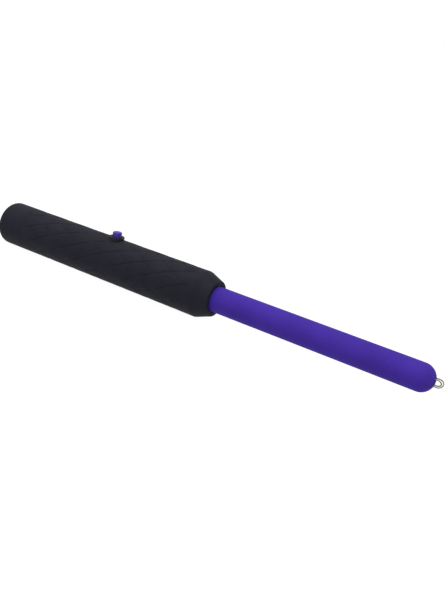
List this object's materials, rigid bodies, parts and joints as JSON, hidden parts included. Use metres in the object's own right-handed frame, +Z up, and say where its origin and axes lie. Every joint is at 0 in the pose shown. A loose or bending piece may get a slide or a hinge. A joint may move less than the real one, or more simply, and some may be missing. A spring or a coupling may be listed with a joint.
{
  "type": "electric wand",
  "caption": "Battery-powered handheld wand with a quilted grip, a thumb push button, a long round-ended tube and crossed wire hoops at the tip.",
  "frame": {"origin": "centre of the flat rear face of the end cap, on the wand's axis", "axes": "+X along the wand towards the tip, +Z up through the push button"},
  "size_m": [0.4244, 0.04, 0.0465],
  "materials": {
    "sleeve_rubber": "soft-touch satin",
    "shell_plastic": "matte moulded",
    "screw_steel": "zinc plated",
    "bezel_plastic": "matte moulded",
    "button_plastic": "satin moulded",
    "white_plastic": "satin",
    "component_plastic": "matte moulded",
    "spring_steel": "bright wire",
    "board_laminate": "solder mask",
    "capacitor_can": "sleeved can",
    "ferrite": "sintered",
    "copper_winding": "enamelled wire",
    "potting_resin": "cast resin",
    "terminal_laminate": "paper laminate",
    "contact_nickel": "nickel plated",
    "red_insulation": "silicone lead",
    "white_insulation": "silicone lead",
    "crimp_brass": "turned",
    "tube_plastic": "satin moulded",
    "hoop_wire": "nickel plated, warm tint",
    "cap_plastic": "soft-touch satin",
    "seal_rubber": "moulded ring",
    "carrier_plastic": "matte moulded",
    "cell_jacket": "printed jacket without lettering"
  },
  "bodies": {
    "wand": {"grip_sleeve": "sleeve_rubber", "shell_left": "shell_plastic", "shell_right": "shell_plastic", "shell_screws": "screw_steel", "switch_bezel": "bezel_plastic", "switch_housing": "component_plastic", "switch_spring": "spring_steel", "circuit_board": "board_laminate", "drive_transistor": "component_plastic", "filter_capacitor": "capacitor_can", "transformer_core": "ferrite", "transformer_coil": "copper_winding", "module_case": "component_plastic", "module_potting": "potting_resin", "terminal_board": "terminal_laminate", "battery_contacts": "contact_nickel", "battery_leads": "red_insulation", "module_leads": "white_insulation", "high_voltage_leads": "red_insulation", "lead_crimps": "crimp_brass", "tube": "tube_plastic", "tube_flange": "shell_plastic", "tip_insulator": "white_plastic", "outer_hoop": "hoop_wire", "inner_hoop": "hoop_wire"},
    "button": {"push_button": "button_plastic", "switch_plunger": "white_plastic"},
    "battery_pack": {"battery_carrier": "carrier_plastic", "cell_left": "cell_jacket", "cell_right": "cell_jacket", "cell_springs": "spring_steel", "rear_bridge": "contact_nickel", "front_contacts": "contact_nickel"},
    "cap": {"end_cap": "cap_plastic", "cap_seal": "seal_rubber", "carrier_screw": "screw_steel"}
  },
  "joints": [
    {"name": "button_press", "type": "slide", "parent": "wand", "child": "button", "axis": [0, 0, -1], "range_m": [0, 0.002], "stiffness_N_per_m": 300, "springref_m": -0.003, "deforming": ["switch_spring"]},
    {"name": "pack_withdraw", "type": "slide", "parent": "wand", "child": "battery_pack", "axis": [-1, 0, 0], "range_m": [0, 0.064]},
    {"name": "cap_turn", "type": "hinge", "parent": "battery_pack", "child": "cap", "pos_m": [0, 0, 0], "axis": [-1, 0, 0], "range_deg": [0, 90]}
  ]
}
